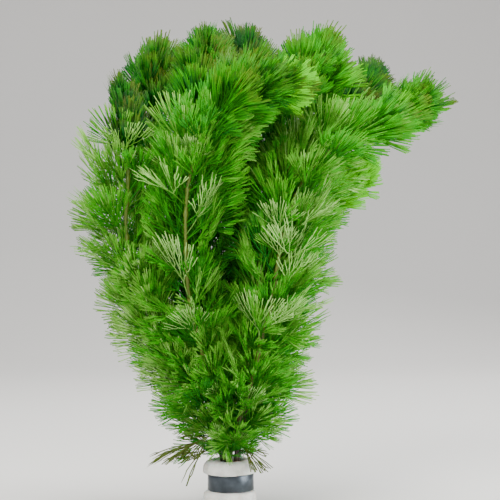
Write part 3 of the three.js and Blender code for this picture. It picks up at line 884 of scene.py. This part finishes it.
class PLANT_OT_whorls(bpy.types.Operator):
    """Grow the leaves of every whorl, and of the nodes up to the next one"""
    bl_idname = "plant.whorls"
    bl_label = "Whorls"

    def execute(self, context):
        settings = context.scene.plant_foliage
        rng = np.random.default_rng(SEED)
        patterns = {
            "full": leaf_patterns(rng, "full", 16, settings.thread_width),
            "open": leaf_patterns(rng, "open", 10, settings.open_thread_width),
            "thin": leaf_patterns(rng, "thin", 3, OLD_WIDTH * settings.open_thread_width),
            "trail": leaf_patterns(rng, "trail", 2, OLD_WIDTH * settings.open_thread_width),
            "slim": leaf_patterns(np.random.default_rng(SEED + 4), "slim", 3, settings.thread_width),
        }
        # Painted shade: the lowest tones run into the darkest green, which stands for the shade inside the bunch
        material = leaf_material("leaf threads", (
            (0.0, settings.old_olive), (0.1, settings.inner_shade_green), (0.35, settings.mid_green),
            (0.62, settings.bright_green), (0.82, settings.olive_green), (1.0, settings.pale_green)),
            0.16, settings.tip_brown, 0.25)
        for name, shoot in SHOOTS.items():
            route = ROUTES[name]
            groups = node_shares(name, settings.node_gap)
            for i, shares in enumerate(groups):
                node = f"whorl_{name}_{i + 1}"
                leaves = self.whorl(node, route, shares[0], shoot, rng)
                for k, share in enumerate(shares[1:]):
                    leaves += self.extra_leaves(route, share, shoot, (i + k) % 2, rng)
                if i == 0:
                    leaves += self.skirt(route, shares[0], shoot, settings.skirt, rng)
                low = 0 if i == 0 else shares[0]
                high = groups[i + 1][0] if i + 1 < len(groups) else 1
                leaves += standouts(name, low, high)
                leaves_object(f"leaves_{name}_{i + 1}", leaves, patterns, rng, material, "leaf", (node,))
        return {"FINISHED"}

    def whorl(self, node, route, share, shoot, rng):
        """The leaves that a whorl's solid has, the lowest ones shorter and older where they hang."""
        islands = leaf_islands(node, route, [share], WHORL_CLEAR)
        leaves = [leaf_from_solid(p, route, share, shoot.tone + rng.uniform(*WHORL_TONE)) for p in islands]
        for leaf in leaves:
            if leaf.base[2] < LOWEST and leaf.ahead[2] < HANGING:
                leaf.length *= HANGING_SIZE
            if leaf.base[2] < LOWEST and leaf.ahead[2] < DROOPING:
                leaf.habit, leaf.tone = "thin", OLD_TONE
        return leaves

    def extra_leaves(self, route, share, shoot, odd, rng):
        """Four leaves at a node between two whorls, turned by an eighth at every other node."""
        turn = shoot.facing + 45 * odd + rng.normal(0, TURN_JITTER)
        for side in (0, 90, 180, 270):
            leaf = leaf_on_stem(
                route, share, turn + side, usual_rise(share) + rng.normal(0, EXTRA_RISE_JITTER),
                rng.uniform(-EXTRA_TWIST, EXTRA_TWIST), shoot.leaf * MM * usual_size(share) * rng.uniform(*EXTRA_SIZE),
                shoot.tone + rng.uniform(*EXTRA_TONE))
            if not hides_stem(shoot, leaf, turn + side):
                yield leaf

    def skirt(self, route, top, shoot, nodes, rng):
        """Short leaves from just above the foam up to a stem's first whorl."""
        bottom = route.share_at(FOOT_HEIGHT + 2 * MM)
        for k in range(nodes):
            grown = k / nodes
            share = bottom + (top - bottom) * grown
            turn = shoot.facing + 90 * (k % 2) + rng.normal(0, SKIRT_JITTER)
            for side in (0, 120, 240):
                leaf = leaf_on_stem(
                    route, share, turn + side, rng.uniform(*SKIRT_RISE), rng.uniform(-SKIRT_TWIST, SKIRT_TWIST),
                    shoot.leaf * MM * (0.34 + 0.34 * grown) * rng.uniform(*SKIRT_SIZE),
                    shoot.tone + rng.uniform(*SKIRT_TONE), "open" if rng.random() < SKIRT_OPEN else "full")
                if not hides_stem(shoot, leaf, turn + side):
                    yield leaf


class PLANT_OT_crowns(bpy.types.Operator):
    """Grow the bushy tip of every stem"""
    bl_idname = "plant.crowns"
    bl_label = "Crowns"

    def execute(self, context):
        settings = context.scene.plant_foliage
        rng = np.random.default_rng(SEED + 1)
        patterns = {
            "young": leaf_patterns(rng, "young", 14, settings.crown_thread_width),
            "slim": leaf_patterns(rng, "slim", 6, settings.crown_thread_width),
        }
        # Painted shade: the lowest tones run into the darkest green, which stands for the shade on the crowns at the
        # back
        material = leaf_material("young leaf threads", (
            (0.0, settings.inner_shade_green), (0.35, settings.fresh_green), (0.65, settings.bright_green),
            (1.0, settings.lime_green)), 0.06, settings.tip_brown, 0.6)
        for name, shoot in SHOOTS.items():
            route, node, habit = ROUTES[name], f"crown_{name}", "slim" if shoot.slim else "young"
            leaves = list(self.tuft(node, route, shoot, habit, rng))
            leaves += self.brush(route, shoot, habit, settings.crown_leaves, rng)
            for share, compass, rise, twist, length, tone in CROWN_FANS.get(name, ()):
                leaves.append(leaf_on_stem(route, share, compass, rise, twist, length * MM, tone, "young"))
            leaves_object(f"tuft_{name}", leaves, patterns, rng, material, "crown", (node,))
        return {"FINISHED"}

    def tuft(self, node, route, shoot, habit, rng):
        """The leaves that a crown's solid has, narrow where they would lie on edge."""
        for points in leaf_islands(node, route, np.linspace(CROWN_START - 0.01, 1, 40), CROWN_CLEAR):
            share = route.shares[np.argmin(np.linalg.norm(route.line - points.mean(axis=0), axis=1))]
            share = np.clip(share - 0.05, CROWN_START, 0.98)
            leaf = leaf_from_solid(points, route, share, shoot.crown_tone + rng.uniform(*TUFT_TONE), habit)
            leaf.length = min(leaf.length, CROWN_LEAF * shoot.leaf * MM)
            if abs(leaf.across[2]) > 0.5 and leaf.ahead[2] < 0.3:
                leaf.habit = "slim"
            yield leaf

    def brush(self, route, shoot, habit, count, rng):
        """Opposite pairs of leaves, each pair a quarter turn from the last, that close up towards the tip."""
        for k in range(count):
            grown = k / (count - 1)
            share = CROWN_START + CROWN_SPAN * grown**CROWN_CROWDING
            rise = CROWN_RISE + CROWN_STEEPENING * grown + shoot.close * (1 - grown)
            leaf = leaf_on_stem(
                route, share, shoot.facing + 90 * (k // 2) + 180 * (k % 2) + rng.normal(0, TURN_JITTER),
                rise + rng.normal(0, BRUSH_RISE_JITTER), rng.uniform(-BRUSH_TWIST, BRUSH_TWIST),
                shoot.leaf * MM * (1 - CROWN_SHORTENING * grown),
                shoot.crown_tone + rng.uniform(*BRUSH_TONE), habit)
            if grown < 0.4 and route.along(share)[2] < LEANING and abs(leaf.across[2]) > 0.4:
                leaf.habit = "slim"
            yield leaf


class PLANT_OT_foam_sleeve(bpy.types.Operator):
    """Wind the foam round the stems, squeezed by the strip and sagging over its upper edge"""
    bl_idname = "plant.foam_sleeve"
    bl_label = "Foam sleeve"

    def execute(self, context):
        settings = context.scene.plant_foot
        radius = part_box("foam_sleeve")[1].x
        waist = STRIP_RADIUS - GAP
        low, high = STRIP_LOW - GAP, STRIP_HIGH + GAP
        top = FOOT_HEIGHT
        # Rows of radius, height, and how much the folds of the lip move the row out and down
        outline = [
            (BORE_RADIUS, 0, 0, 0), (radius - 2.6 * MM, 0, 0, 0), (radius - 1.2 * MM, 0.1 * MM, 0, 0),
            (radius - 0.5 * MM, 0.9 * MM, 0.2, 0), (radius - 0.2 * MM, 2.2 * MM, 0.3, 0),
            (radius, low / 2, 0.4, 0), (radius, low - 2.2 * MM, 0.4, 0.1),
            (radius - 0.5 * MM, low - 0.7 * MM, 0.3, 0.3), (radius - 1.5 * MM, low - 0.2 * MM, 0, 0.2),
            (waist, low + 0.2 * MM, 0, 0), (waist, (low + high) / 2, 0, 0), (waist, high - 0.1 * MM, 0, 0),
            (waist + 1.6 * MM, high + 0.15 * MM, 0, 0), (radius - 0.45 * MM, high - 0.2 * MM, 0, 0.4),
            (radius - 0.2 * MM, high - 0.8 * MM, 0.2, 1), (radius + 0.1 * MM, high - 0.7 * MM, 0.6, 1),
            (radius + 0.2 * MM, high + 0.4 * MM, 1, 0.7), (radius, high + 1.8 * MM, 1, 0.3),
            (radius - 0.5 * MM, high + 3.2 * MM, 1, 0.2), (radius - 1.4 * MM, top - 1.4 * MM, 0.9, 0.3),
            (radius - 2.6 * MM, top - 0.5 * MM, 0.6, 0.5), (radius - 4.4 * MM, top - 0.2 * MM, 0.3, 0.6),
            (BORE_RADIUS + 1.3 * MM, top - 0.6 * MM, 0, 0.5), (BORE_RADIUS, top - 2 * MM, 0, 0),
            (BORE_RADIUS, top / 2, 0, 0),
        ]
        rng = np.random.default_rng(SEED + 2)
        columns = settings.sides
        angles = 2 * math.pi * np.arange(columns) / columns
        folds = sum(rng.uniform(0.6, 1) / n**0.6 * np.sin(n * angles + rng.uniform(0, 2 * math.pi))
                    for n in (2, 3, 5, 8, 13))
        sag = np.sin(angles - math.radians(100)) * 0.5 + 0.35 * np.sin(3 * angles + 1.0) + 0.25 * folds
        verts = []
        for r, z, outward, downward in outline:
            rough = rng.normal(0, 1, columns)
            rough = (rough + np.roll(rough, 1)) / 2 * settings.roughness
            reach = r + settings.pucker * outward * folds * 0.5 + (rough if outward else 0)
            height = z - settings.sag * downward * (0.5 + 0.5 * sag) if downward else np.full(columns, z)
            height = np.clip(height + (0.5 * rough if outward else 0), 0, FOOT_HEIGHT)
            verts += list(zip(reach * np.cos(angles), reach * np.sin(angles), height))
        faces = swept_faces(len(outline), columns, joined=True)
        piece = add_object("sleeve_foam", verts, faces, foam_material(settings), "foam", ("foam_sleeve",))
        smooth = piece.modifiers.new("round", "SUBSURF")
        smooth.levels = smooth.render_levels = 1
        return {"FINISHED"}


class PLANT_OT_weight_strip(bpy.types.Operator):
    """Wind the soft metal strip round the foam"""
    bl_idname = "plant.weight_strip"
    bl_label = "Weight strip"

    def execute(self, context):
        settings = context.scene.plant_foot
        steps = int(110 * STRIP_TURNS)
        edge = 0.25 * MM  # worn off along its edges
        dent_depth = 0.12 * MM
        t, w = STRIP_THICKNESS, STRIP_HIGH - STRIP_LOW
        section = [(0, edge), (edge, 0), (t - edge, 0), (t, edge), (t, w / 2), (t, w - edge), (t - edge, w),
                   (edge, w), (0, w - edge), (0, w / 2)]
        rng = np.random.default_rng(SEED + 3)
        phases = rng.uniform(0, 2 * math.pi, 4)
        verts = []
        for i in range(steps + 1):
            turn = STRIP_TURNS * i / steps
            angle = STRIP_START + 2 * math.pi * turn
            for depth, height in section:
                dent = dent_depth * math.sin(5 * angle + phases[0] + height / w * 2) * math.sin(3 * angle + phases[1])
                sway = dent_depth * math.sin(2 * angle + phases[2])
                r = STRIP_RADIUS + STRIP_PITCH * turn + depth + dent - 0.1 * MM
                z = STRIP_LOW + height + (sway if edge < height < w - edge else sway * 0.6)
                verts.append((r * math.cos(angle), r * math.sin(angle), z))
        faces = [(first, *reversed(others)) for first, *others in swept_faces(steps + 1, len(section))]
        add_object("strip_metal", verts, faces, strip_material(settings), "strip", ("weight_strip",))
        return {"FINISHED"}


class PLANT_OT_stage(bpy.types.Operator):
    """Set the pale floor and backdrop, the soft lights and the camera"""
    bl_idname = "plant.stage"
    bl_label = "Stage"

    def execute(self, context):
        settings = context.scene.plant_stage
        self.add_backdrop(settings)
        self.add_lights(context, settings)
        self.add_camera(context, settings)
        return {"FINISHED"}

    def add_backdrop(self, settings):
        """A floor that bends up into a wall at the back."""
        half, front, back, bend, wall = 4.0, -3.0, 1.6, 0.8, 3.0
        line = [(front, 0.0), (back - bend, 0.0)]
        line += [(back - bend + bend * math.sin(a), bend - bend * math.cos(a)) for a in np.linspace(0.1, 1.5, 12)]
        line += [(back, bend), (back, wall)]
        verts = [(x, y, z) for y, z in line for x in (-half, half)]
        faces = [(2 * i, 2 * i + 1, 2 * i + 3, 2 * i + 2) for i in range(len(line) - 1)]
        backdrop = add_object("backdrop", verts, faces, floor_material(settings))
        backdrop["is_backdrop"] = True

    def add_lights(self, context, settings):
        world = bpy.data.worlds.new("daylight")
        world.use_nodes = True
        sky = world.node_tree.nodes["Background"]
        sky.inputs["Color"].default_value = (0.95, 0.97, 1.0, 1)
        sky.inputs["Strength"].default_value = settings.daylight
        context.scene.world = world
        # Name, place, size, power in watts and colour
        lights = (
            ("key", (-0.45, -0.75, 0.75), 0.5, 15.0, (1.0, 0.98, 0.94)),
            ("top", (0.1, 0.05, 0.95), 0.6, 14.0, (0.97, 1.0, 0.97)),
            ("fill", (0.6, -0.19, 0.17), 0.3, 5.4, (0.95, 0.98, 1.0)),
            ("rim", (0.3, 0.8, 0.6), 0.5, 4.0, (1.0, 1.0, 1.0)),
        )
        for name, place, size, power, color in lights:
            lamp = bpy.data.lights.new(name, "AREA")
            lamp.size, lamp.energy, lamp.color = size, power, color
            item = bpy.data.objects.new(name, lamp)
            item.location = place
            item.rotation_euler = (Vector(LIT_POINT) - Vector(place)).to_track_quat("-Z", "Y").to_euler()
            context.scene.collection.objects.link(item)

    def add_camera(self, context, settings):
        lens = bpy.data.cameras.new("camera")
        lens.sensor_width = SENSOR
        lens.lens = SENSOR * settings.distance / settings.view_width
        lens.clip_start, lens.clip_end = 0.01, 20
        camera = bpy.data.objects.new("camera", lens)
        camera.location = (VIEW_MIDDLE[0], -settings.distance, VIEW_MIDDLE[1])
        camera.rotation_euler = (math.pi / 2, 0, 0)
        context.scene.collection.objects.link(camera)
        context.scene.camera = camera


class PLANT_PT_bunch(bpy.types.Panel):
    """The pieces of the bunch, one button each, and their settings"""
    bl_idname = "PLANT_PT_bunch"
    bl_label = "Fanwort bunch"
    bl_space_type = "VIEW_3D"
    bl_region_type = "UI"
    bl_category = "Plant"

    def draw(self, context):
        layout = self.layout
        for operator in OPERATORS:
            layout.operator(operator.bl_idname)
        for group in SETTINGS:
            settings = getattr(context.scene, group)
            box = layout.box()
            for field in settings.__annotations__:
                box.prop(settings, field)


OPERATORS = (
    PLANT_OT_stage, PLANT_OT_stems, PLANT_OT_whorls, PLANT_OT_crowns, PLANT_OT_foam_sleeve, PLANT_OT_weight_strip)
SETTINGS = {
    "plant_foliage": FoliageSettings, "plant_stems": StemSettings, "plant_foot": FootSettings,
    "plant_stage": StageSettings,
}


def register():
    for group, kind in SETTINGS.items():
        bpy.utils.register_class(kind)
        setattr(bpy.types.Scene, group, PointerProperty(type=kind))
    for kind in (*OPERATORS, PLANT_PT_bunch):
        bpy.utils.register_class(kind)


def unregister():
    for kind in (PLANT_PT_bunch, *reversed(OPERATORS)):
        bpy.utils.unregister_class(kind)
    for group, kind in SETTINGS.items():
        delattr(bpy.types.Scene, group)
        bpy.utils.unregister_class(kind)


def main():
    register()
    bpy.ops.plant.stage()
    bpy.ops.plant.stems()
    bpy.ops.plant.whorls()
    bpy.ops.plant.crowns()
    bpy.ops.plant.foam_sleeve()
    bpy.ops.plant.weight_strip()
    boxes = {"cad": CAD_BOX, "visual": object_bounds()}
    {key: [list(corner) for corner in box] for key, box in boxes.items()}


if __name__ == "__main__":
    main()
